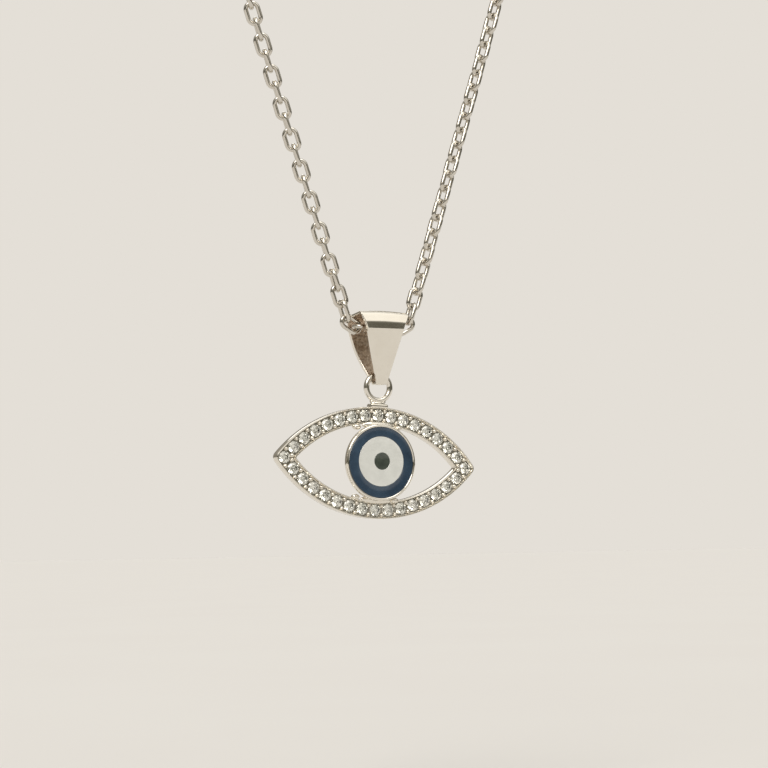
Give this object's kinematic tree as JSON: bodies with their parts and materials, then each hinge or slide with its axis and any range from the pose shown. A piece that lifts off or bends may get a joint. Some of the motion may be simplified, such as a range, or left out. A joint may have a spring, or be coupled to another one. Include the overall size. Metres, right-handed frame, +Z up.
{
  "type": "evil eye pendant on a cable chain",
  "caption": "Silver necklace: an open eye-shaped pendant set with small clear stones round a blue, white and black enamel eye, hung by a folded bail from a fine cable chain.",
  "frame": {"origin": "top of the chain's loop, where the nape of a neck or a hook holds the necklace, with the pendant hanging straight below it", "axes": "+X to the right as the pendant is seen from its front, +Y to its back, +Z up"},
  "size_m": [0.0942, 0.0041, 0.2103],
  "materials": {
    "silver": "polished rhodium-plated silver",
    "blue_enamel": "glossy, level with the rim",
    "white_enamel": "glossy, level with the rim",
    "black_enamel": "glossy, level with the rim",
    "clear_stone": "cut and polished cubic zirconia"
  },
  "bodies": {
    "chain": {"chain_front": "silver", "chain_back": "silver", "clasp": "silver", "clasp_ring": "silver", "end_ring": "silver"},
    "bail": {"bail": "silver"},
    "eye": {"eye_frame": "silver", "iris": "blue_enamel", "eye_white": "white_enamel", "pupil": "black_enamel", "stone_01": "clear_stone", "stone_02": "clear_stone", "stone_03": "clear_stone", "stone_04": "clear_stone", "stone_05": "clear_stone", "stone_06": "clear_stone", "stone_07": "clear_stone", "stone_08": "clear_stone", "stone_09": "clear_stone", "stone_10": "clear_stone", "stone_11": "clear_stone", "stone_12": "clear_stone", "stone_13": "clear_stone", "stone_14": "clear_stone", "stone_15": "clear_stone", "stone_16": "clear_stone", "stone_17": "clear_stone", "stone_18": "clear_stone", "stone_19": "clear_stone", "stone_20": "clear_stone", "stone_21": "clear_stone", "stone_22": "clear_stone", "stone_23": "clear_stone", "stone_24": "clear_stone", "stone_25": "clear_stone", "stone_26": "clear_stone", "stone_27": "clear_stone", "stone_28": "clear_stone", "stone_29": "clear_stone", "stone_30": "clear_stone", "stone_31": "clear_stone", "stone_32": "clear_stone"}
  },
  "joints": [
    {"name": "bail_swing", "type": "hinge", "parent": "chain", "child": "bail", "pos_m": [0, 0, -0.19053], "axis": [1, 0, 0], "range_deg": [-45, 45]},
    {"name": "eye_swing", "type": "hinge", "parent": "bail", "child": "eye", "pos_m": [0, 0, -0.19486], "axis": [1, 0, 0], "range_deg": [-40, 40]}
  ]
}
